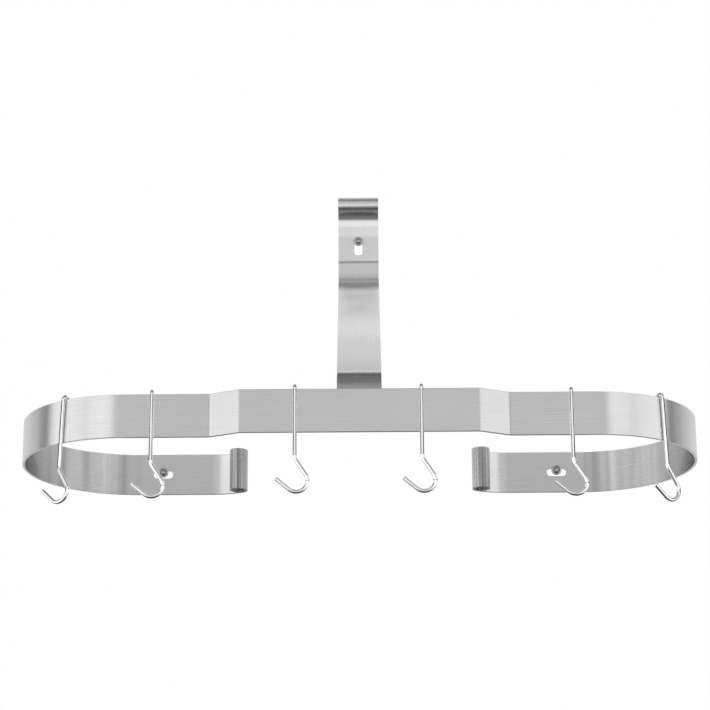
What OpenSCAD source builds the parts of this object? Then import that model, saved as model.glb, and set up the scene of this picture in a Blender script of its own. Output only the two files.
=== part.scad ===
// Wall-mounted pot rack. One flat bar is bent into an open loop whose rolled ends sit on the wall,
// a second bar makes the centre arm, and six wire hooks hang over the loop's top edge.
// X runs along the wall, Y points into the wall, whose face is Y = 0, and Z = 0 is the loop's mid-height.

/* [Flat bar] */
// Width of the flat bar that the loop and the arm are bent from
bar_w = 50.8; // [35:0.1:70]
// Thickness of the flat bar
bar_t = 3.2; // [2.4:0.1:4.8]
// Chamfer that eases the long edges of the bar
bar_ease = 0.35; // [0.1:0.05:0.8]

/* [Loop] */
// Overall width of the loop
loop_w = 794; // [700:1:1000]
// Depth from the wall to the straight front, which the round ends share
loop_d = 258; // [230:1:290]
// How far the centre section stands in front of the straight front
bump_out = 17.2; // [10:0.1:24]
// Width of the centre section, bend to bend
bump_w = 272; // [220:1:300]
// Width of each slanted face beside the centre section
slant_w = 34.5; // [28:0.1:45]
// Inside radius of the four bends of the centre section
bump_bend_r = 2.4; // [1:0.1:6]

/* [Rolled ends] */
// Outer diameter of a rolled end
roll_d = 24; // [20:0.5:32]
// Clear gap between the bar and the inner turn of a roll
roll_gap = 1.2; // [0.6:0.1:3]
// How far the inner turn goes on past the first half turn, in degrees
roll_inner_angle = 215; // [120:5:230]
// Clear distance between the two rolls on the wall
roll_spacing = 275; // [230:1:300]
// Middle radius of the gentle curve that leads into a roll
roll_lead_r = 70; // [40:5:80]
// Angle of that curve, in degrees
roll_lead_angle = 30; // [10:1:32]

/* [Wall slots of the loop] */
// Distance from the start of a round end to the slot's centre, along the straight end
slot_inset = 26; // [18:0.5:60]
// Length of each slot
slot_len = 24; // [18:0.5:34]
// Height of each slot
slot_h = 10; // [7:0.1:12]

/* [Arm] */
// Height of the sharp bend where the arm leaves the wall
arm_crease_z = 277; // [250:1:320]
// Forward lean of the short face below that bend, in degrees
arm_lean = 9; // [5:0.5:20]
// Length of the short face, from the sharp bend to the upper curve
arm_short = 17; // [12:0.5:30]
// Length of the wall plate, from the sharp bend to the centre of the top roll
arm_plate = 68; // [66:0.5:100]
// Inside radius of the sharp bend
arm_crease_r = 2; // [1:0.1:6]
// Middle radius of the upper curve
arm_top_r = 44; // [25:1:60]
// Middle radius of the lower curve
arm_foot_r = 44; // [25:1:60]
// Height where the lower curve runs out into the flat tab
arm_foot_z = 17; // [5:0.5:24]
// Length of the tab behind the centre section
arm_tab = 36; // [26:0.5:42]
// Length of the vertical slot in the wall plate
arm_slot_len = 21; // [16:0.5:26]
// Height of that slot's lower end above the sharp bend
arm_slot_up = 9.5; // [7:0.5:16]
// Radius of that slot's two lower corners
arm_slot_corner = 3; // [1:0.1:3.4]
// Leg of the two weld beads beside the tab
weld_leg = 3; // [2:0.1:5]
// Length of each weld bead
weld_len = 28; // [16:0.5:32]

/* [Wall screws] */
// Shank diameter of a screw
screw_d = 5; // [4:0.1:5.6]
// Straight length of the shank behind the wall face
screw_deep = 37; // [25:0.5:60]
// Distance that the neck under the head is thinner than the shank
neck_thin = 0.4; // [0.2:0.1:0.6]
// Length of the screw's point
screw_point = 8; // [5:0.5:12]
// Diameter of the pan head
head_d = 9.4; // [8:0.1:10.5]
// Height of the pan head
head_h = 3.4; // [2.6:0.1:4.5]
// Radius of the head's dome
dome_r = 6.8; // [5.4:0.1:12]
// Width of the cross recess
recess_w = 1.3; // [0.8:0.1:1.8]
// Depth of the cross recess
recess_deep = 1.8; // [1:0.1:2.4]
// Outer diameter of a washer
washer_d = 12.4; // [11.2:0.1:16]
// Thickness of a washer
washer_t = 1.2; // [0.8:0.1:2]
// Distance that a washer's bore is wider than the shank
washer_play = 0.6; // [0.3:0.1:0.8]
// Distance between a screw's neck and the slot edge that rests on it
hang_gap = 0.3; // [0.2:0.05:0.6]

/* [Hooks] */
// Diameter of the hook wire
wire_d = 4.76; // [4:0.01:6]
// Play between the wire and each face of the bar
hook_play = 0.6; // [0.4:0.05:1.2]
// Distance between the wire and the top corners of the bar
hook_seat = 0.3; // [0.1:0.05:0.35]
// Length of the straight tail behind the bar
hook_tail = 30; // [20:0.5:42]
// Depth of the leg's bend below the bar's lower edge
hook_drop = 31.5; // [25:0.5:60]
// Radius of the bend below the leg
hook_knee_r = 13; // [8:0.5:16]
// Angle between the leg and the slanted run, in degrees
hook_slant_a = 33; // [25:1:40]
// Length of the slanted run, from the knee's corner to where the cradle starts
hook_slant = 22.6; // [16:0.1:32]
// Radius of the cradle that holds a pan's handle
cradle_r = 12.6; // [10:0.1:18]
// Angle that the tip rises above the level, in degrees
tip_rise = 40; // [25:1:60]
// Length of the straight tip
tip_len = 19.5; // [12:0.5:28]
// Chamfer on the ends of the wire
wire_ease = 0.6; // [0.2:0.1:1]
// Places of the two hooks on the centre section, along X
centre_hooks = [-72.7, 70];
// Places of the left and the right hook on the straight front, as shares of its length from the slanted face
front_hook_shares = [0.665, 0.716];
// Places of the two hooks on the round ends, as angles from the front
end_hook_angles = [-32, 36.5];
// Outward lean of the two end hooks, in degrees
end_lean = 2.5; // [0:0.5:4]

/* [Hidden] */
$fn = 64;

steel = "silver";
chrome = "gainsboro";
zinc = "darkgray";

// Bar and wire are a hair thinner in a bend, and each straight laps over the ends of its bends
bend_thin = 0.03;
lap = 0.15;
// Distance that a cut runs past the face it opens
over = 1;
// Depth of a slot's cut, centred on the wall face
slot_cut = 4 * bar_t;

// Middle radii and places of the loop
end_r = (loop_d - bar_t) / 2;
end_x = (loop_w - loop_d) / 2;
bump_r = bump_bend_r + bar_t / 2;
slant_a = atan2(bump_out, slant_w);
slant_len = norm([bump_out, slant_w]);
bump_setback = bump_r * tan(slant_a / 2);
slant_x = bump_w / 2 + slant_w;
front_y = bar_t / 2 - loop_d - bump_out;
roll_r = (roll_d - bar_t) / 2;
roll_inner_r = roll_r - (bar_t + roll_gap) / 2;
roll_x = (roll_spacing + roll_d) / 2;
// Distance from where the bar starts to lead in to the roll's centre
roll_lead = (roll_lead_r - roll_r) * sin(roll_lead_angle);

// Middle line of the arm in the Y-Z plane, from the tab up to the wall plate
tab_y = front_y + bar_t;
plate_y = -bar_t / 2;
crease_r = arm_crease_r + bar_t / 2;
crease_setback = crease_r * tan(arm_lean / 2);
short_end = [plate_y - arm_short * sin(arm_lean), arm_crease_z - arm_short * cos(arm_lean)];
// Centres of the two curves, and the straight run that touches both of them
foot_c = [tab_y + arm_foot_r, arm_foot_z];
top_c = short_end + arm_top_r * [-cos(arm_lean), sin(arm_lean)];
centres = top_c - foot_c;
ramp_a = atan2(centres[0], centres[1]) + asin((arm_foot_r + arm_top_r) / norm(centres));
ramp_len = sqrt(pow(norm(centres), 2) - pow(arm_foot_r + arm_top_r, 2));

// Screws rest under the upper edge of their slots
neck_d = screw_d - neck_thin;
point_d = 0.4;
screw_x = end_x - slot_inset;
screw_z = (slot_h - neck_d) / 2 - hang_gap;
arm_slot_top = arm_crease_z + arm_slot_up + arm_slot_len;
top_screw_z = arm_slot_top - neck_d / 2 - hang_gap;
washer_y = -bar_t - washer_t;

// The hook's upper bend hugs the bar, and its inside rests on the two top corners
hook_r = (bar_t + wire_d) / 2 + hook_play;
hook_in = hook_r - wire_d / 2;
hook_up = bar_w / 2 - sqrt(pow(hook_in - hook_seat, 2) - pow(bar_t / 2, 2));
knee_z = bar_w / 2 + hook_drop;
knee_setback = hook_knee_r * tan(hook_slant_a / 2);

// Section of the flat bar, with its long edges eased
module bar_section(thin = 0) {
    w = (bar_w - thin) / 2;
    t = (bar_t - thin) / 2;
    e = bar_ease;
    polygon([[-t, e - w], [e - t, -w], [t - e, -w], [t, e - w],
        [t, w - e], [t - e, w], [e - t, w], [-t, w - e]]);
}

// Flat bar bent in the X-Y plane, starting at the origin along +X. Each step is a straight
// length, a bend angle that is positive to the left, and the middle radius of that bend.
module bent_bar(steps, i = 0) {
    if (i < len(steps)) {
        run = steps[i][0];
        a = steps[i][1];
        r = steps[i][2] * sign(a);
        translate([-lap, 0, 0]) rotate([90, 0, 90]) linear_extrude(run + 2 * lap) bar_section();
        translate([run, r, 0]) {
            rotate([0, 0, a > 0 ? -90 : 90 + a]) rotate_extrude(angle = abs(a), $fn = 128)
                translate([abs(r), 0]) bar_section(bend_thin);
            rotate([0, 0, a]) translate([0, -r, 0]) bent_bar(steps, i + 1);
        }
    }
}

// Round wire bent in space, starting at the origin along +Z. Each step is a straight length,
// a turn about the wire, a bend angle towards the turned +X, and the middle radius of that bend.
module bent_wire(steps, i = 0) {
    if (i < len(steps)) {
        run = steps[i][0];
        r = steps[i][3];
        if (run > 0)
            translate([0, 0, -lap]) cylinder(d = wire_d, h = run + 2 * lap);
        translate([0, 0, run]) rotate([0, 0, steps[i][1]]) translate([r, 0, 0]) {
            rotate([90, 0, 180]) rotate_extrude(angle = steps[i][2])
                translate([r, 0]) circle(d = wire_d - bend_thin);
            rotate([0, steps[i][2], 0]) translate([-r, 0, 0]) bent_wire(steps, i + 1);
        }
    } else {
        wire_end(tip_len);
    }
}

// Straight end of the wire with a chamfered rim
module wire_end(run) {
    translate([0, 0, -lap]) cylinder(d = wire_d, h = run - wire_ease + lap);
    translate([0, 0, run - wire_ease]) cylinder(d1 = wire_d, d2 = wire_d - 2 * wire_ease, h = wire_ease);
}

// Slot with round ends, cut through along Y and long in X
module wall_slot(len, h) {
    rotate([90, 0, 0]) {
        for (side = [-1, 1])
            translate([side * (len - h) / 2, 0, -slot_cut / 2]) cylinder(d = h, h = slot_cut);
        translate([(h - len) / 2, -h / 2, -slot_cut / 2]) cube([len - h, h, slot_cut]);
    }
}

// Slot of the wall plate, cut through along Y, with a round upper end and two rounded lower corners
module arm_slot() {
    c = arm_slot_corner;
    low = arm_slot_top - arm_slot_len;
    rotate([90, 0, 0]) translate([0, 0, -slot_cut / 2]) {
        translate([0, arm_slot_top - slot_h / 2, 0]) cylinder(d = slot_h, h = slot_cut);
        translate([-slot_h / 2, low + c, 0]) cube([slot_h, arm_slot_len - slot_h / 2 - c, slot_cut]);
        translate([c - slot_h / 2, low, 0]) cube([slot_h - 2 * c, 2 * c, slot_cut]);
        for (side = [-1, 1])
            translate([side * (slot_h / 2 - c), low + c, 0]) cylinder(r = c, h = slot_cut);
    }
}

// Right half of the loop, from the middle of the front to the rolled end on the wall
module half_loop() {
    translate([0, front_y, 0]) bent_bar([
        [bump_w / 2 - bump_setback, slant_a, bump_r],
        [slant_len - 2 * bump_setback, -slant_a, bump_r],
        [end_x - slant_x - bump_setback, 180, end_r],
        [end_x - roll_x - roll_lead, roll_lead_angle, roll_lead_r],
        [lap, 180 - roll_lead_angle, roll_r],
        [lap, roll_inner_angle, roll_inner_r]]);
}

module rack_band() {
    color(steel) difference() {
        union() {
            half_loop();
            mirror([1, 0, 0]) half_loop();
        }
        for (side = [-1, 1])
            translate([side * screw_x, 0, 0]) wall_slot(slot_len, slot_h);
    }
}

module support_arm() {
    color(steel) difference() {
        translate([0, tab_y, arm_foot_z - arm_tab]) rotate([180, -90, 0]) bent_bar([
            [arm_tab, -ramp_a, arm_foot_r],
            [ramp_len, ramp_a - arm_lean, arm_top_r],
            [arm_short - crease_setback, arm_lean, crease_r],
            [arm_plate - crease_setback - roll_lead, roll_lead_angle, roll_lead_r],
            [lap, 180 - roll_lead_angle, roll_r],
            [lap, roll_inner_angle, roll_inner_r]]);
        arm_slot();
    }
}

// Fillet beads along both edges of the tab, in the corner against the back of the loop
module arm_weld() {
    color(zinc) for (side = [0, 1])
        mirror([side, 0, 0]) translate([bar_w / 2, tab_y - bar_t / 2, arm_foot_z - arm_tab / 2 - weld_len / 2])
            linear_extrude(weld_len) polygon([[0, 0], [weld_leg, 0], [0, weld_leg]]);
}

// Hook over a bar that lies along X, with the bar's middle at the origin and the room at -Y
module pan_hook() {
    color(chrome) translate([0, hook_r, hook_up]) {
        rotate([180, 0, 0]) wire_end(hook_tail);
        rotate([0, 0, -90]) bent_wire([
            [0, 0, 180, hook_r],
            [hook_up + knee_z - knee_setback, 90, hook_slant_a, hook_knee_r],
            [hook_slant - knee_setback, 180, hook_slant_a + 90 + tip_rise, cradle_r]]);
    }
}

// Pan-head screw along +Y with the underside of its head at the origin
module wall_screw() {
    color(zinc) rotate([-90, 0, 0]) difference() {
        union() {
            translate([0, 0, -head_h]) intersection() {
                cylinder(d = head_d, h = head_h);
                translate([0, 0, dome_r]) sphere(r = dome_r);
            }
            cylinder(d = neck_d, h = -washer_y);
            translate([0, 0, -washer_y]) cylinder(d = screw_d, h = screw_deep);
            translate([0, 0, screw_deep - washer_y]) cylinder(d1 = screw_d, d2 = point_d, h = screw_point);
        }
        for (turn = [45, 135])
            rotate([0, 0, turn]) translate([-head_d / 4, -recess_w / 2, -head_h - over])
                cube([head_d / 2, recess_w, recess_deep + over]);
    }
}

module washer() {
    color(zinc) rotate([-90, 0, 0]) difference() {
        cylinder(d = washer_d, h = washer_t);
        translate([0, 0, -over]) cylinder(d = screw_d + washer_play, h = washer_t + 2 * over);
    }
}

module centre_hook(x) {
    translate([x, front_y, 0]) pan_hook();
}

// Hook on the straight front of the left (-1) or the right (1) half
module front_hook(side, share) {
    translate([side * (slant_x + share * (end_x - slant_x)), front_y + bump_out, 0]) pan_hook();
}

// Hook on a round end, at an angle from the front about the end's centre
module end_hook(a) {
    translate([sign(a) * end_x, -loop_d / 2, 0]) rotate([0, 0, a])
        translate([0, -end_r, hook_up]) rotate([0, -sign(a) * end_lean, 0]) translate([0, 0, -hook_up]) pan_hook();
}

module at_screw(x, z) {
    translate([x, washer_y, z]) children();
}

rack_band();
support_arm();
arm_weld();
end_hook(end_hook_angles[0]);  // hook_1
front_hook(-1, front_hook_shares[0]);  // hook_2
centre_hook(centre_hooks[0]);  // hook_3
centre_hook(centre_hooks[1]);  // hook_4
front_hook(1, front_hook_shares[1]);  // hook_5
end_hook(end_hook_angles[1]);  // hook_6
at_screw(-screw_x, screw_z) wall_screw();  // screw_left
at_screw(screw_x, screw_z) wall_screw();  // screw_right
at_screw(0, top_screw_z) wall_screw();  // screw_top
at_screw(-screw_x, screw_z) washer();  // washer_left
at_screw(screw_x, screw_z) washer();  // washer_right
at_screw(0, top_screw_z) washer();  // washer_top
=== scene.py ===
import math

import bmesh
import bpy
from mathutils import Matrix, Vector


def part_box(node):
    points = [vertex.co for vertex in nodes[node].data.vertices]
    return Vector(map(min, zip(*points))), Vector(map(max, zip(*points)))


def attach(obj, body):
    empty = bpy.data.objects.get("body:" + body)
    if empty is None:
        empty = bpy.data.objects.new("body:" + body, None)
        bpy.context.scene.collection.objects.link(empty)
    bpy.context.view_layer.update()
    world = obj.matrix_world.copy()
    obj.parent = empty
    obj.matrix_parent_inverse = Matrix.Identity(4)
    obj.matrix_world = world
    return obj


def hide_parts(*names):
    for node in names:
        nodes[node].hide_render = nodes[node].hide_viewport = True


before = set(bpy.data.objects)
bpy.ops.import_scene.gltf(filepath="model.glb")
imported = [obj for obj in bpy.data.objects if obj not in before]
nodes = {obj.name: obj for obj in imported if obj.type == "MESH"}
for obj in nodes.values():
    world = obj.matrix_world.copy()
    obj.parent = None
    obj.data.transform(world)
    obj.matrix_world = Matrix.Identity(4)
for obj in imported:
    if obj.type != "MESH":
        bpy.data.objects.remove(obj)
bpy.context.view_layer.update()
scene = bpy.context.scene

X, Y, Z = 0, 1, 2
QUARTER_TURN = math.pi / 2.0


# ---------------------------------------------------------------- camera
# Image size and focal length in pixels, turns in radians
IMAGE, FOCAL_PX = 710, 2431.0
SENSOR_MM, CLIP_END = 36.0, 60.0
CAM_AT = Vector((0.00116, -2.8963, -0.78554))
YAW, PITCH, ROLL = -0.0021848, 0.3138, -0.0059729


def make_camera():
    """The photograph's camera, which stands below the rack and looks up at it."""
    data = bpy.data.cameras.new("camera")
    data.sensor_width = SENSOR_MM
    data.sensor_fit = "HORIZONTAL"
    data.lens = FOCAL_PX * SENSOR_MM / IMAGE
    data.clip_end = CLIP_END
    cam = bpy.data.objects.new("camera", data)
    scene.collection.objects.link(cam)
    flat = math.cos(PITCH)
    ahead = Vector((math.sin(YAW) * flat, math.cos(YAW) * flat, math.sin(PITCH)))
    level = Vector((math.cos(YAW), -math.sin(YAW), 0.0))
    above = level.cross(ahead)
    right = math.cos(ROLL) * level + math.sin(ROLL) * above
    up = -math.sin(ROLL) * level + math.cos(ROLL) * above
    turn = Matrix((right, up, -ahead)).transposed().to_4x4()
    cam.matrix_world = Matrix.Translation(CAM_AT) @ turn
    scene.camera = cam


# ---------------------------------------------------------------- node helpers
# Sockets of the Mix node, whose names repeat for each type of data
MIX_FLOAT_A, MIX_FLOAT_B = 2, 3
MIX_COLOR_A, MIX_COLOR_B, MIX_COLOR_OUT = 6, 7, 2
# How far a noise's seed moves it along each axis
SEED_STEP = (1.0, 0.7, 1.3)
WHITE = (1.0, 1.0, 1.0, 1.0)


class Tree:
    """Small helper that adds and links shader nodes."""

    def __init__(self, tree):
        self.tree = tree
        self.tree.nodes.clear()

    def add(self, kind, inputs=None, **props):
        """New node with the given properties, and a value or a link on each given input."""
        node = self.tree.nodes.new(kind)
        for key, value in props.items():
            setattr(node, key, value)
        for key, value in (inputs or {}).items():
            socket = node.inputs[key]
            if isinstance(value, bpy.types.NodeSocket):
                self.tree.links.new(value, socket)
            else:
                socket.default_value = value
        return node

    def output(self, shader, kind="ShaderNodeOutputMaterial"):
        self.add(kind, {"Surface": shader})

    def coords(self, kind):
        return self.add("ShaderNodeTexCoord").outputs[kind]

    def glossy_ray(self):
        return self.add("ShaderNodeLightPath").outputs["Is Glossy Ray"]

    def split(self, vector):
        return self.add("ShaderNodeSeparateXYZ", {0: vector}).outputs

    def math(self, op, a, b=0.0, c=0.0):
        return self.add("ShaderNodeMath", {0: a, 1: b, 2: c}, operation=op).outputs[0]

    def product(self, first, *others):
        for other in others:
            first = self.math("MULTIPLY", first, other)
        return first

    def blend(self, share, a, b):
        """The given share of a and the rest of b."""
        return self.math("ADD", self.product(a, share), self.product(b, 1.0 - share))

    def remap(self, value, low, high, to_low, to_high):
        return self.add("ShaderNodeMapRange",
                        {0: value, 1: low, 2: high, 3: to_low, 4: to_high}).outputs[0]

    def rise(self, value, low, high):
        return self.remap(value, low, high, 0.0, 1.0)

    def fall(self, value, low, high):
        return self.remap(value, low, high, 1.0, 0.0)

    def ramp(self, fac, stops):
        """Grey by fac, from rising (place, value) stops."""
        node = self.add("ShaderNodeValToRGB", {"Fac": fac})
        elements = node.color_ramp.elements
        while len(elements) < len(stops):
            elements.new(0.5)
        for element, (at, value) in zip(elements, stops):
            element.position = at
            element.color = (value, value, value, 1.0)
        return node.outputs["Color"]

    def mix_color(self, fac, a, b, blend_type="MIX"):
        node = self.add("ShaderNodeMix", {0: fac, MIX_COLOR_A: a, MIX_COLOR_B: b},
                        data_type="RGBA", blend_type=blend_type)
        return node.outputs[MIX_COLOR_OUT]

    def noise(self, coords, scale, detail, rough, seed):
        """3D noise with its own scale along each axis, in features per metre."""
        moved = self.add("ShaderNodeMapping", {
            "Vector": coords, "Scale": scale, "Location": tuple(seed * step for step in SEED_STEP)})
        return self.add("ShaderNodeTexNoise", {
            "Vector": moved.outputs[0], "Scale": 1.0, "Detail": detail,
            "Roughness": rough}).outputs["Fac"]


def new_material(name):
    mat = bpy.data.materials.new(name)
    mat.use_nodes = True
    return mat, Tree(mat.node_tree)


def by_axis(axis, on_axis, elsewhere):
    """Three scales: one along the given axis, and another along the other two."""
    return tuple(on_axis if i == axis else elsewhere for i in range(3))


def opaque(color):
    return (*color, 1.0)


# ---------------------------------------------------------------- masks
AT_PLACE_CORE = 0.2
# Soft marks on the rolls: features per metre, detail, roughness, seed, and where they start and end
MARKS_ALONG, MARKS_ACROSS = 5.0, 620.0
MARKS_NOISE = (2.0, 0.6, 4.4)
MARKS_SPREAD = (0.46, 0.56)


def near_axis(t, coords, along, axes, radius, soft):
    """1 within radius of lines that run along one axis through the given places, else 0."""
    first, second = [part for i, part in enumerate(t.split(coords)) if i != along]
    mask = 0.0
    for a, b in axes:
        da, db = t.math("SUBTRACT", first, a), t.math("SUBTRACT", second, b)
        dist = t.math("SQRT", t.math("ADD", t.product(da, da), t.product(db, db)))
        mask = t.math("MAXIMUM", mask, t.fall(dist, radius, radius + soft))
    return mask


def at_place(t, value, place, half):
    """1 in the middle of a thin strip of the given half width, fading to 0 at its sides."""
    off = t.math("ABSOLUTE", t.math("SUBTRACT", value, place))
    return t.fall(off, AT_PLACE_CORE * half, half)


def roll_marks(t, coords, along):
    """Soft marks that run along a roll."""
    scale = by_axis(along, MARKS_ALONG, MARKS_ACROSS)
    return t.rise(t.noise(coords, scale, *MARKS_NOISE), *MARKS_SPREAD)


# ---------------------------------------------------------------- brushed steel
# Noises by features per metre along and across the brush lines, detail, roughness and seed
HAIR = (26.0, 2600.0, 2.0, 0.5, 3.1)
LINES = (12.0, 1300.0, 2.0, 0.55, 7.7)
CLOUD = (12.0, 12.0, 2.0, 0.5, 1.9)
SCRATCH = (34.0, 4200.0, 1.0, 0.4, 12.3)
SCRATCH_SPREAD, SCRATCH_DARK, SCRATCH_DEEP = (0.66, 0.76), 0.18, 0.4
# Share of the hair in the fine tone and of the fine tone in the whole
HAIR_SHARE, FINE_SHARE = 0.65, 0.75
TONE_SPREAD = (0.25, 0.75)
STEEL_ROUGH, STEEL_ROUGH_SPREAD = 0.28, 0.02
STEEL_BUMP, BUMP_DISTANCE = 0.04, 0.00003
EDGE_NORMAL, TANGENT_LEAN = 0.7, 0.017


def painted_light_and_marks(t, color, shades):
    """The colour, multiplied by each share where its mask is 1: marks, painted shade and painted
    highlights.
    """
    for mask, share in shades:
        color = t.mix_color(mask, color, opaque((share, share, share)), "MULTIPLY")
    return color


def brushed_steel(name, across, low, high, shade):
    """Steel brushed lengthwise. across is the axis that the brush lines are stacked along, and shade
    gives (mask, share) pairs for marks, painted shade and painted highlights."""
    mat, t = new_material(name)
    coords = t.coords("Object")

    def grain(along_lines, across_lines, detail, rough, seed):
        return t.noise(coords, by_axis(across, across_lines, along_lines), detail, rough, seed)

    hair = grain(*HAIR)
    scratch = t.rise(grain(*SCRATCH), *SCRATCH_SPREAD)
    tone = t.rise(t.blend(HAIR_SHARE, hair, grain(*LINES)), *TONE_SPREAD)
    tone = t.blend(FINE_SHARE, tone, grain(*CLOUD))
    tone = t.math("SUBTRACT", tone, t.product(scratch, SCRATCH_DARK))
    height = t.math("SUBTRACT", hair, t.product(scratch, SCRATCH_DEEP))
    bump = t.add("ShaderNodeBump", {"Strength": STEEL_BUMP, "Distance": BUMP_DISTANCE,
                                    "Height": height})
    # Highlights spread across the brush lines. On the bar's thin edges the tangent takes another
    # axis, because there the first one is the normal.
    over = t.math("ABSOLUTE", t.split(t.coords("Normal"))[across])
    on_edge = t.math("GREATER_THAN", over, EDGE_NORMAL)
    tangent = t.add("ShaderNodeCombineXYZ", {
        (across + 1) % 3: TANGENT_LEAN, (across + 2) % 3: on_edge,
        across: t.math("SUBTRACT", 1.0, on_edge)})
    color = t.mix_color(tone, opaque(low), opaque(high))
    t.output(t.add("ShaderNodeBsdfPrincipled", {
        "Base Color": painted_light_and_marks(t, color, shade(t, coords)),
        "Metallic": 1.0,
        "Roughness": t.remap(tone, 0.0, 1.0, STEEL_ROUGH + STEEL_ROUGH_SPREAD,
                             STEEL_ROUGH - STEEL_ROUGH_SPREAD),
        "Anisotropic": 1.0,
        "Normal": bump.outputs[0],
        "Tangent": tangent.outputs[0],
    }).outputs[0])
    return mat


# Places on the loop and the arm, in metres. Rolls' axes are (x, y) on the loop, (y, z) on the arm
ROLL_AXES = [(-0.1495, -0.0200), (0.1495, -0.0200)]
ARM_ROLL_AXIS = (-0.0200, 0.345)
ROLL_REACH, ROLL_FADE = 0.0124, 0.001
GROOVE_REACH, GROOVE_FADE = 0.0180, 0.002
LOOP_MIDDLE = (0.0, -0.129, 0.0)

# The loop's painted shades and painted highlight by distance from its middle plane: (start, end) of
# a fade, and for the slants' bends (place, half width)
INWARD_FACING, RIM_FACING = -0.02, (0.3, 0.6)
ROUND_END, FAR_END = (0.27, 0.395), (0.372, 0.395)
STRAIGHT_RIM, LEAD_IN = (0.25, 0.27), (0.176, 0.181)
REAR_STRIP_IN, REAR_STRIP_OUT = (0.284, 0.291), (0.305, 0.310)
HOLLOW_BEND, RIDGE_BEND = (0.1705, 0.0012), (0.136, 0.0007)
# Upright streaks on the inner side, partly bending marks and partly painted shade: the noise's
# scale, detail, roughness and seed, the part of it that darkens, and the distance at which they
# start
STREAKS = ((95.0, 30.0, 0.8), 2.0, 0.6, 9.1)
STREAKS_SPREAD, STREAKS_IN = (0.50, 0.62), (0.262, 0.280)
# Shares by mask: marks on the rolls, a painted highlight on the lead-ins, and painted shade
# elsewhere, with the streaks partly bending marks
BAND_SHARES = {"rolled": 0.62, "marks": 0.60, "inner": 0.93, "round_end": 0.62, "far_end": 0.62,
               "rear_strip": 0.80, "streaks": 0.86, "lead_in": 1.10, "rim": 0.45, "hollow": 0.55,
               "ridge": 0.85}

# The arm's painted shades by height, depth and facing
CREASE = (0.277, 0.0024)
UPPER_BEND_Z, UPPER_BEND_FADE = 0.2438, (0.0018, 0.0125)
FOOT = (0.035, 0.055)
UNDER_FACING = (-0.42, -0.28)
NOOK_FACING, NOOK_Y, NOOK_Z = -0.6, -0.0155, (0.3315, 0.3345)
# Shares by mask: marks on the roll, painted shade elsewhere
ARM_SHARES = {"crease": 0.50, "upper_bend": 0.36, "foot": 0.63, "under": 0.48, "nook": 0.30,
              "marks": 0.78}


def band_shade(t, coords):
    """Painted shade on the rolls and the loop's inner side, deeper in the round ends and along
    upright streaks there, which are partly bending marks. A strip on the rear bar, the straight
    parts' thin edges and the slants' bends carry painted shade too, and the lead-ins to the rolls a
    painted highlight. The rolls also carry marks."""
    side, depth, _ = t.split(coords)
    x = t.math("ABSOLUTE", side)
    front = t.math("LESS_THAN", depth, LOOP_MIDDLE[Y])
    behind = t.math("SUBTRACT", 1.0, front)
    rolled = near_axis(t, coords, Z, ROLL_AXES, ROLL_REACH, ROLL_FADE)
    normal = t.coords("Normal")
    outward = t.add("ShaderNodeVectorMath", {0: coords, 1: LOOP_MIDDLE}, operation="SUBTRACT")
    facing = t.add("ShaderNodeVectorMath", {0: outward.outputs[0], 1: normal},
                   operation="DOT_PRODUCT").outputs["Value"]
    inner = t.product(t.math("LESS_THAN", facing, INWARD_FACING),
                      t.math("SUBTRACT", 1.0, rolled),
                      t.math("MAXIMUM", front, t.math("GREATER_THAN", x, LEAD_IN[1])))
    over = t.math("ABSOLUTE", t.split(normal)[Z])
    streaks = t.rise(t.noise(coords, *STREAKS), *STREAKS_SPREAD)
    # All masks but the marks carry painted light; the streaks are partly bending marks.
    masks = {
        "rolled": rolled,
        "marks": t.product(rolled, roll_marks(t, coords, Z)),
        "inner": inner,
        "round_end": t.product(inner, t.rise(x, *ROUND_END)),
        "far_end": t.product(inner, t.rise(x, *FAR_END)),
        "rear_strip": t.product(behind, t.rise(x, *REAR_STRIP_IN), t.fall(x, *REAR_STRIP_OUT)),
        "streaks": t.product(inner, streaks, t.rise(x, *STREAKS_IN)),
        "lead_in": t.product(behind, t.fall(x, *LEAD_IN)),
        "rim": t.product(t.rise(over, *RIM_FACING), t.fall(x, *STRAIGHT_RIM)),
        "hollow": t.product(front, at_place(t, x, *HOLLOW_BEND)),
        "ridge": t.product(front, at_place(t, x, *RIDGE_BEND)),
    }
    return [(masks[name], share) for name, share in BAND_SHARES.items()]


def arm_shade(t, coords):
    """Painted shade on the arm along its crease and its upper bend, at its foot, on its roll's
    underside and in the nook below the roll. The roll also carries marks."""
    _, y, z = t.split(coords)
    _, facing_y, facing_z = t.split(t.coords("Normal"))
    rolled = near_axis(t, coords, X, [ARM_ROLL_AXIS], ROLL_REACH, ROLL_FADE)
    groove = near_axis(t, coords, X, [ARM_ROLL_AXIS], GROOVE_REACH, GROOVE_FADE)
    from_bend = t.math("ABSOLUTE", t.math("SUBTRACT", z, UPPER_BEND_Z))
    # All masks but the marks carry painted shade.
    masks = {
        "crease": at_place(t, z, *CREASE),
        "upper_bend": t.fall(from_bend, *UPPER_BEND_FADE),
        "foot": t.fall(z, *FOOT),
        "under": t.product(groove, t.fall(facing_z, *UNDER_FACING)),
        "nook": t.product(t.math("LESS_THAN", facing_y, NOOK_FACING),
                          t.math("GREATER_THAN", y, NOOK_Y), t.rise(z, *NOOK_Z)),
        "marks": t.product(rolled, roll_marks(t, coords, X)),
    }
    return [(masks[name], share) for name, share in ARM_SHARES.items()]


# ---------------------------------------------------------------- plated and polished metal
# Detail, roughness and seed of the haze and of finer marks, and how much finer and weaker those are
HAZE_NOISE, FINE_NOISE = (3.0, 0.6, 5.3), (2.0, 0.5, 2.2)
FINE_SCALE, FINE_HEIGHT = 9.0, 0.3
HAZE_SPREAD, HAZE_GLOSSY, HAZE_DULL = (0.3, 0.7), 0.7, 1.4


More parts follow.
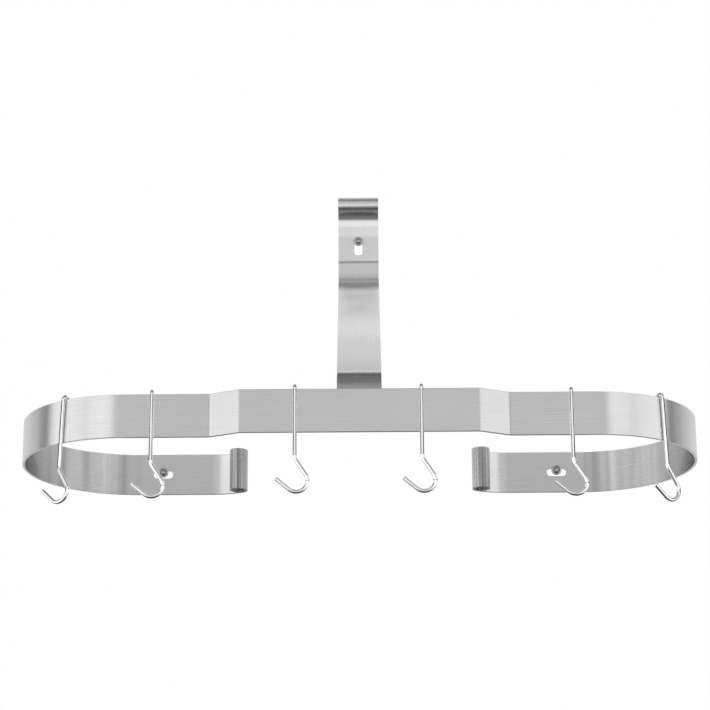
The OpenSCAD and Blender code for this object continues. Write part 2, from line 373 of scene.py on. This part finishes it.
def ring_shade(inner, outer, soft, share):
    """Ring of painted dark reflection round a screw's axis."""
    def shade(t, coords):
        parts = t.split(coords)
        flat = t.add("ShaderNodeCombineXYZ", {0: parts[X], 1: parts[Z]}).outputs[0]
        off = t.add("ShaderNodeVectorMath", {0: flat}, operation="LENGTH").outputs["Value"]
        ring = t.product(t.rise(off, inner - soft, inner), t.fall(off, outer, outer + soft))
        return [(ring, share)]
    return shade


def plated(name, low, high, rough, grain, bump_strength, shade=None):
    """Polished or plated metal with a faint haze and fine marks."""
    mat, t = new_material(name)
    coords = t.coords("Object")
    haze = t.noise(coords, (grain,) * 3, *HAZE_NOISE)
    marks = t.noise(coords, (grain * FINE_SCALE,) * 3, *FINE_NOISE)
    bump = t.add("ShaderNodeBump", {
        "Strength": bump_strength, "Distance": BUMP_DISTANCE,
        "Height": t.math("ADD", haze, t.product(marks, FINE_HEIGHT))})
    color = t.mix_color(haze, opaque(low), opaque(high))
    # Painted shade, where a shade is given
    if shade:
        color = painted_light_and_marks(t, color, shade(t, coords))
    t.output(t.add("ShaderNodeBsdfPrincipled", {
        "Base Color": color,
        "Metallic": 1.0,
        "Roughness": t.remap(haze, *HAZE_SPREAD, rough * HAZE_GLOSSY, rough * HAZE_DULL),
        "Normal": bump.outputs[0],
    }).outputs[0])
    return mat


def dress(name, mat):
    """Give a CAD node its material."""
    mesh = nodes[name].data
    mesh.materials.clear()
    mesh.materials.append(mat)
    for poly in mesh.polygons:
        poly.material_index = 0


# ---------------------------------------------------------------- studio, as metal sees it
# Brightness by degrees round the rack, from nearly straight ahead (0) to behind (180)
AROUND = [(0, 0.692), (8, 0.678), (14, 0.613), (16, 0.72), (19, 1.01), (24, 1.08), (40, 1.22),
          (50, 1.38), (56, 1.45), (72, 1.48), (86, 1.43), (91, 1.18), (95, 0.44), (97, 0.30),
          (103, 0.30), (107, 0.52), (118, 0.60), (150, 0.70), (180, 0.74)]
# Share of that by degrees above the horizon
UP = [(-90, 0.08), (-44, 0.10), (-34, 0.62), (-14, 0.80), (-2, 1.18), (10, 1.18), (14, 0.98),
      (18, 0.82), (32, 0.82), (40, 0.80), (46, 0.78), (54, 0.72), (62, 0.52), (69, 0.40),
      (74, 0.16), (83, 0.15), (86, 0.22), (88, 0.40), (90, 0.60)]
# Low level strip, dim beside the rack and brighter ahead, which draws the lines along polished wire
STRIP_AROUND = [(0, 0.0), (40, 0.0), (46, 1.0), (130, 1.0), (134, 0.0), (180, 0.0)]
STRIP_UP = [(-90, 0.0), (11.3, 0.0), (12, 1.0), (17.5, 1.0), (18.2, 0.0), (90, 0.0)]
STRIP_DIM, STRIP_LIFT = 0.97, 0.30
# Dim patch high up on each side, which draws the line along the slanted wire of a hook
PATCH_AROUND = [(0, 0.0), (36, 0.0), (42, 1.0), (128, 1.0), (136, 0.0), (180, 0.0)]
PATCH_UP = [(-90, 0.0), (33, 0.0), (36, 1.0), (62, 1.0), (68, 0.0), (90, 0.0)]
PATCH_DIM = 0.92
# The right side is a little wider and turned, in degrees, and the left one is turned
RIGHT_WIDER, RIGHT_TURN, LEFT_TURN = 1.1, -3.0, 1.2
# The far right is a little dimmer
RIGHT_FADE, RIGHT_LEVEL = (0.3, 0.6), 0.95
HALF_CIRCLE = 180.0


def make_world():
    """White to the camera and as light. Metal sees a studio instead: a soft box on each side with a
    dark strip behind it, a dim ceiling, a dark ground, and the strip and patches named above."""
    world = bpy.data.worlds.new("studio")
    world.use_nodes = True
    scene.world = world
    t = Tree(world.node_tree)
    x, y, z = t.split(t.coords("Generated"))
    turn = t.math("DIVIDE", t.math("ARCTAN2", x, t.product(y, -1.0)), math.pi)
    around = t.math("MAXIMUM", t.math("MULTIPLY_ADD", turn, RIGHT_WIDER, RIGHT_TURN / HALF_CIRCLE),
                    t.math("SUBTRACT", LEFT_TURN / HALF_CIRCLE, turn))
    rise = t.math("ADD", t.math("DIVIDE", t.math("ARCSINE", z), math.pi), 0.5)

    def by_turn(stops):
        return t.ramp(around, [(angle / HALF_CIRCLE, value) for angle, value in stops])

    def by_height(stops):
        return t.ramp(rise, [(angle / HALF_CIRCLE + 0.5, value) for angle, value in stops])

    strip = t.math("MULTIPLY_ADD", by_turn(STRIP_AROUND), -STRIP_DIM - STRIP_LIFT, STRIP_LIFT)
    strip = t.math("MULTIPLY_ADD", strip, by_height(STRIP_UP), 1.0)
    patch = t.product(by_turn(PATCH_AROUND), by_height(PATCH_UP))
    patch = t.math("MULTIPLY_ADD", patch, -PATCH_DIM, 1.0)
    level = t.product(by_turn(AROUND), by_height(UP), strip, patch,
                      t.remap(x, *RIGHT_FADE, 1.0, RIGHT_LEVEL))
    studio = t.add("ShaderNodeBackground", {"Color": level, "Strength": 1.0})
    white = t.add("ShaderNodeBackground", {"Color": WHITE, "Strength": 1.0})
    mix = t.add("ShaderNodeMixShader",
                {0: t.glossy_ray(), 1: white.outputs[0], 2: studio.outputs[0]})
    t.output(mix.outputs[0], "ShaderNodeOutputWorld")


# ---------------------------------------------------------------- floor, wall and card
FLOOR_HALF, FLOOR_Z = 6.0, -1.35
FLOOR_COLORS = (0.93, 0.93, 0.93), (0.95, 0.95, 0.95)
FLOOR_NOISE = ((3.0, 3.0, 3.0), 2.0, 0.5, 0.0)
# The wall stands just behind the rack, and metal sees only what lies within WALL_SEEN of the middle
WALL_HALF, WALL_TOP, WALL_Y, WALL_SEEN = 3.0, 2.0, 0.0003, 0.85
# Its level for metal: by share of the way up WALL_SPAN, by distance from the middle, and at its foot
WALL_SPAN = (0.34, 1.84)
WALL_UP = [(0.0, 0.86), (0.032, 0.84), (0.059, 0.72), (0.073, 0.56), (0.085, 0.42), (0.10, 0.42),
           (0.13, 0.74), (0.213, 0.96), (0.24, 0.82), (0.28, 0.40), (0.333, 0.14)]
WALL_SIDE = [(0.0, 1.0), (0.40, 0.98), (0.46, 0.86), (0.56, 0.83), (0.72, 0.62)]
WALL_FOOT, WALL_FOOT_LEVEL = (-0.30, -0.22), 0.08
CARD_HALF, CARD_NEAR, CARD_FAR, CARD_Z, CARD_LEVEL = 0.10, -0.038, -0.002, 0.325, 0.85
LIGHT_RAYS = ("diffuse", "transmission", "shadow", "volume_scatter")


def glow_material(name, level, clear):
    """Plain light of the given level, see-through where clear is 1."""
    mat, t = new_material(name)
    glow = t.add("ShaderNodeEmission", {"Color": WHITE, "Strength": level(t)})
    through = t.add("ShaderNodeBsdfTransparent")
    mix = t.add("ShaderNodeMixShader", {0: clear(t), 1: glow.outputs[0], 2: through.outputs[0]})
    t.output(mix.outputs[0])
    return mat


def from_behind(t):
    return t.add("ShaderNodeNewGeometry").outputs["Backfacing"]


def wall_place(t):
    """Distance from the middle, and height."""
    parts = t.split(t.add("ShaderNodeNewGeometry").outputs["Position"])
    return t.math("ABSOLUTE", parts[X]), parts[Z]


def wall_level(t):
    side, height = wall_place(t)
    lit = t.product(t.ramp(t.rise(height, *WALL_SPAN), WALL_UP), t.ramp(side, WALL_SIDE),
                    t.remap(height, *WALL_FOOT, WALL_FOOT_LEVEL, 1.0))
    return t.add("ShaderNodeMix", {0: t.glossy_ray(), MIX_FLOAT_A: 1.0, MIX_FLOAT_B: lit},
                 data_type="FLOAT").outputs[0]


def wall_clear(t):
    side, _ = wall_place(t)
    beyond = t.product(t.math("GREATER_THAN", side, WALL_SEEN), t.glossy_ray())
    return t.math("MAXIMUM", beyond, from_behind(t))


def stage_plane(name, corners, mat, hidden_from):
    mesh = bpy.data.meshes.new(name)
    mesh.from_pydata(corners, [], [(0, 1, 2, 3)])
    mesh.materials.append(mat)
    obj = bpy.data.objects.new(name, mesh)
    scene.collection.objects.link(obj)
    for ray in hidden_from:
        setattr(obj, "visible_" + ray, False)


def make_stage():
    """A pale floor below the rack, and a white wall behind it that shows from the room's side only,
    so that the wall hides what goes into it. Metal sees the wall near the rack only, with a dark
    foot and a dim band above the arm. It also sees a small white card under the arm's roll, which
    nothing else sees."""
    mat, t = new_material("pale_floor")
    low, high = FLOOR_COLORS
    speck = t.noise(t.coords("Object"), *FLOOR_NOISE)
    color = t.mix_color(speck, opaque(low), opaque(high))
    t.output(t.add("ShaderNodeBsdfDiffuse", {"Color": color}).outputs[0])
    size = FLOOR_HALF
    stage_plane("floor", [(-size, -size, FLOOR_Z), (size, -size, FLOOR_Z), (size, size, FLOOR_Z),
                          (-size, size, FLOOR_Z)], mat, ("glossy",))
    stage_plane("card", [(-CARD_HALF, CARD_NEAR, CARD_Z), (-CARD_HALF, CARD_FAR, CARD_Z),
                         (CARD_HALF, CARD_FAR, CARD_Z), (CARD_HALF, CARD_NEAR, CARD_Z)],
                glow_material("white_card", lambda t: CARD_LEVEL, from_behind),
                ("camera", *LIGHT_RAYS))
    stage_plane("wall", [(-WALL_HALF, WALL_Y, FLOOR_Z), (WALL_HALF, WALL_Y, FLOOR_Z),
                         (WALL_HALF, WALL_Y, WALL_TOP), (-WALL_HALF, WALL_Y, WALL_TOP)],
                glow_material("white_wall", wall_level, wall_clear), LIGHT_RAYS)


# ---------------------------------------------------------------- mesh helpers
def skin(bm, loops, capped):
    """Quads between neighbouring loops. The two ends are capped, or join up."""
    pairs = list(zip(loops, loops[1:]))
    if not capped:
        pairs.append((loops[-1], loops[0]))
    for one, two in pairs:
        for i in range(len(one)):
            j = (i + 1) % len(one)
            bm.faces.new((one[i], one[j], two[j], two[i]))
    if capped:
        bm.faces.new(loops[0])
        bm.faces.new(loops[-1])


def turned(rings, segments, capped):
    """Mesh round the Y axis from rings of (place on it, radius or function of the angle)."""
    bm = bmesh.new()
    loops = []
    for place, radius in rings:
        loop = []
        for i in range(segments):
            a = 2.0 * math.pi * i / segments
            r = radius(a) if callable(radius) else radius
            loop.append(bm.verts.new((r * math.cos(a), place, r * math.sin(a))))
        loops.append(loop)
    skin(bm, loops, capped)
    bmesh.ops.recalc_face_normals(bm, faces=bm.faces)
    return bm


def cut_away(bm, cutter_bm):
    """The first mesh less the second, both closed."""
    objs = []
    for part in (bm, cutter_bm):
        mesh = bpy.data.meshes.new("cut")
        part.to_mesh(mesh)
        part.free()
        obj = bpy.data.objects.new("cut", mesh)
        scene.collection.objects.link(obj)
        objs.append(obj)
    body, cutter = objs
    mod = body.modifiers.new("cut", "BOOLEAN")
    mod.operation = "DIFFERENCE"
    mod.solver = "EXACT"
    mod.object = cutter
    shape = body.evaluated_get(bpy.context.evaluated_depsgraph_get())
    out = bmesh.new()
    out.from_mesh(shape.to_mesh())
    shape.to_mesh_clear()
    for obj in objs:
        mesh = obj.data
        bpy.data.objects.remove(obj)
        bpy.data.meshes.remove(mesh)
    return out


def finish_piece(bm, node, at, mat, smooth):
    """Detailed piece that stands for a CAD node. Edges of more than smooth degrees stay sharp."""
    name = f"{node}_detail"
    mesh = bpy.data.meshes.new(name)
    bm.to_mesh(mesh)
    bm.free()
    for poly in mesh.polygons:
        poly.use_smooth = True
    mesh.set_sharp_from_angle(angle=math.radians(smooth))
    mesh.materials.append(mat)
    obj = bpy.data.objects.new(name, mesh)
    obj.location = at
    scene.collection.objects.link(obj)
    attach(obj, "rack")
    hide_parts(node)


# ---------------------------------------------------------------- screws and washers, in metres
SEAT_Y = -0.0044
SCREW_AT = {"left": (-0.242, SEAT_Y, 0.0024), "right": (0.242, SEAT_Y, 0.0024),
            "top": (0.0, SEAT_Y, 0.3049)}
HEAD_R, HEAD_H, HEAD_TOP_R = 0.0047, 0.00334, 0.0018
DOME_H, DOME_STEPS = 0.0022, 10
RIM_EASE, RIM_NIP = 0.0004, 0.0001
NECK_R, NECK_LEN, NECK_FILLET = 0.0023, 0.0044, 0.0003
SHANK_R, CORE_R, SHANK_LEN, POINT_LEN = 0.0025, 0.0018, 0.037, 0.008
THREAD_PITCH, THREAD_STEPS, THREAD_FLANK = 0.0022, 8.0, 0.34
TIP_R, TIP_SHARE = 0.0002, 0.12
# Cross recess: half width of an arm, its reach, depth, and share of its size at the bottom
RECESS_HALF, RECESS_REACH, RECESS_DEEP, RECESS_TAPER = 0.00062, 0.0026, 0.0019, 0.55
RECESS_CLEAR = 0.001
WASHER_R, WASHER_BORE_R, WASHER_T = 0.0062, 0.0028, 0.0012
WASHER_EASE, BORE_EASE, WASHER_EASE_STEPS = 0.0003, 0.0001, 4
SCREW_SIDES, WASHER_SIDES = 40, 64
SMALL_SMOOTH = 35.0


def recess_cutter():
    """Closed tapered cross that cuts the recess of a screw's head, turned an eighth."""
    bm = bmesh.new()
    outline = []
    for k in range(4):
        a = QUARTER_TURN * k
        ux, uz = math.cos(a), math.sin(a)
        vx, vz = -uz, ux
        for along, side in ((RECESS_HALF, -RECESS_HALF), (RECESS_REACH, -RECESS_HALF),
                            (RECESS_REACH, RECESS_HALF)):
            outline.append((along * ux + side * vx, along * uz + side * vz))
    turn = Matrix.Rotation(QUARTER_TURN / 2.0, 2)
    loops = []
    for place, share in ((-HEAD_H - RECESS_CLEAR, 1.0), (-HEAD_H + RECESS_DEEP, RECESS_TAPER)):
        flat = [turn @ (Vector(point) * share) for point in outline]
        loops.append([bm.verts.new((x, place, z)) for x, z in flat])
    skin(bm, loops, True)
    bmesh.ops.recalc_face_normals(bm, faces=bm.faces)
    return bm


def thread_radius(place, taper):
    """Radius round the thread at one place along the shank."""
    def radius(a):
        turn = (place / THREAD_PITCH - a / (2.0 * math.pi)) % 1.0
        crest = max(0.0, 1.0 - abs(turn - 0.5) / THREAD_FLANK)
        return (CORE_R + (SHANK_R - CORE_R) * crest) * taper
    return radius


def make_screw(where, mat):
    """Pan-head screw with a cross recess and a threaded shank."""
    rings = [(-HEAD_H, HEAD_TOP_R)]
    for k in range(1, DOME_STEPS + 1):
        a = QUARTER_TURN * k / DOME_STEPS
        rings.append((-HEAD_H + DOME_H * (1.0 - math.cos(a)),
                      HEAD_TOP_R + (HEAD_R - HEAD_TOP_R) * math.sin(a)))
    rings += [(-RIM_EASE, HEAD_R), (-RIM_NIP, HEAD_R - RIM_NIP), (0.0, HEAD_R - RIM_EASE),
              (0.0, NECK_R + NECK_FILLET), (NECK_FILLET, NECK_R), (NECK_LEN - TIP_R, NECK_R)]
    step = THREAD_PITCH / THREAD_STEPS
    end = NECK_LEN + SHANK_LEN + POINT_LEN
    for k in range(int((SHANK_LEN + POINT_LEN) / step)):
        place = NECK_LEN + k * step
        taper = min(1.0, TIP_SHARE + (1.0 - TIP_SHARE) * (end - place) / POINT_LEN)
        rings.append((place, thread_radius(place, taper)))
    rings.append((end - TIP_R, TIP_R))
    bm = cut_away(turned(rings, SCREW_SIDES, True), recess_cutter())
    finish_piece(bm, f"screw_{where}", SCREW_AT[where], mat, SMALL_SMOOTH)


def make_washer(where, mat):
    """Stamped washer: its outer edge is rounded in front and sharp behind."""
    rings = [(0.0, WASHER_BORE_R), (0.0, WASHER_R), (WASHER_EASE - WASHER_T, WASHER_R)]
    for k in range(1, WASHER_EASE_STEPS + 1):
        a = QUARTER_TURN * k / WASHER_EASE_STEPS
        rings.append((WASHER_EASE - WASHER_T - WASHER_EASE * math.sin(a),
                      WASHER_R - WASHER_EASE * (1.0 - math.cos(a))))
    rings += [(-WASHER_T, WASHER_BORE_R + BORE_EASE), (-WASHER_T + BORE_EASE, WASHER_BORE_R)]
    x, _, z = SCREW_AT[where]
    finish_piece(turned(rings, WASHER_SIDES, False), f"washer_{where}", (x, SEAT_Y + WASHER_T, z),
                 mat, SMALL_SMOOTH)


# ---------------------------------------------------------------- weld, in metres
WELD_LEG, WELD_HALF, WELD_SINK = 0.0030, 0.0254, 0.0002
WELD_STEPS, WELD_ARC, WELD_SMOOTH = 168, 9, 60.0
# Steps over which a bead grows at each end, and the share that it starts with
WELD_END_STEPS, WELD_END_SHARE = 9.0, 0.18
# Length of a ripple, how far it bows, and how much and how fast it wanders
RIPPLE, RIPPLE_BOW, RIPPLE_WANDER, WANDER_RATE = 0.0017, 0.0009, 0.13, 900.0
BEAD_FLAT, BEAD_CROWN, BEAD_RIPPLE = 0.80, 0.13, 0.07


def make_weld(mat):
    """Two fillet beads whose ripples show how the torch moved."""
    low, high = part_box("arm_weld")
    bm = bmesh.new()
    for side in (-1.0, 1.0):
        loops = []
        for i in range(WELD_STEPS + 1):
            share = i / WELD_STEPS
            z = low[Z] + (high[Z] - low[Z]) * share
            from_end = min(share, 1.0 - share) * WELD_STEPS
            end = min(1.0, math.sqrt(from_end / WELD_END_STEPS) + WELD_END_SHARE)
            loop = [bm.verts.new((side * (WELD_HALF - WELD_SINK), low[Y] - WELD_SINK, z))]
            for k in range(WELD_ARC + 1):
                a = QUARTER_TURN * k / WELD_ARC
                lift = math.sin(2.0 * a)
                phase = (z + RIPPLE_BOW * lift) / RIPPLE + RIPPLE_WANDER * math.sin(z * WANDER_RATE)
                wave = 1.0 - 2.0 * abs((phase % 1.0) - 0.5)
                r = WELD_LEG * end * (BEAD_FLAT + BEAD_CROWN * lift + BEAD_RIPPLE * math.sqrt(wave))
                loop.append(bm.verts.new((side * (WELD_HALF + r * math.cos(a)),
                                          low[Y] + r * math.sin(a), z)))
            loops.append(loop)
        skin(bm, loops, True)
    bmesh.ops.recalc_face_normals(bm, faces=bm.faces)
    finish_piece(bm, "arm_weld", (0.0, 0.0, 0.0), mat, WELD_SMOOTH)


# ---------------------------------------------------------------- the rack
make_camera()
make_world()
make_stage()

dress("rack_band", brushed_steel("brushed_band", across=Z, low=(0.76, 0.76, 0.765),
                                 high=(0.88, 0.88, 0.885), shade=band_shade))
dress("support_arm", brushed_steel("brushed_arm", across=X, low=(0.75, 0.75, 0.755),
                                   high=(0.86, 0.86, 0.865), shade=arm_shade))
chrome = plated("polished_wire", low=(0.90, 0.90, 0.91), high=(0.95, 0.95, 0.96), rough=0.05,
                grain=160.0, bump_strength=0.03)
for i in range(1, 7):
    dress(f"hook_{i}", chrome)

# The head's dome and the washer's rim carry rings of painted dark reflection.
head_metal = plated("plated_head", low=(0.66, 0.66, 0.67), high=(0.78, 0.78, 0.79), rough=0.26,
                    grain=900.0, bump_strength=0.25,
                    shade=ring_shade(inner=0.0020, outer=0.0060, soft=0.0006, share=0.36))
washer_metal = plated("plated_washer", low=(0.80, 0.80, 0.81), high=(0.90, 0.90, 0.91), rough=0.24,
                      grain=900.0, bump_strength=0.2,
                      shade=ring_shade(inner=0.0056, outer=0.0070, soft=0.0003, share=0.36))
for where in SCREW_AT:
    make_screw(where, head_metal)
    make_washer(where, washer_metal)
make_weld(plated("weld_bead", low=(0.42, 0.42, 0.43), high=(0.62, 0.62, 0.63), rough=0.32,
                 grain=700.0, bump_strength=0.5))

scene.view_settings.view_transform = "Standard"
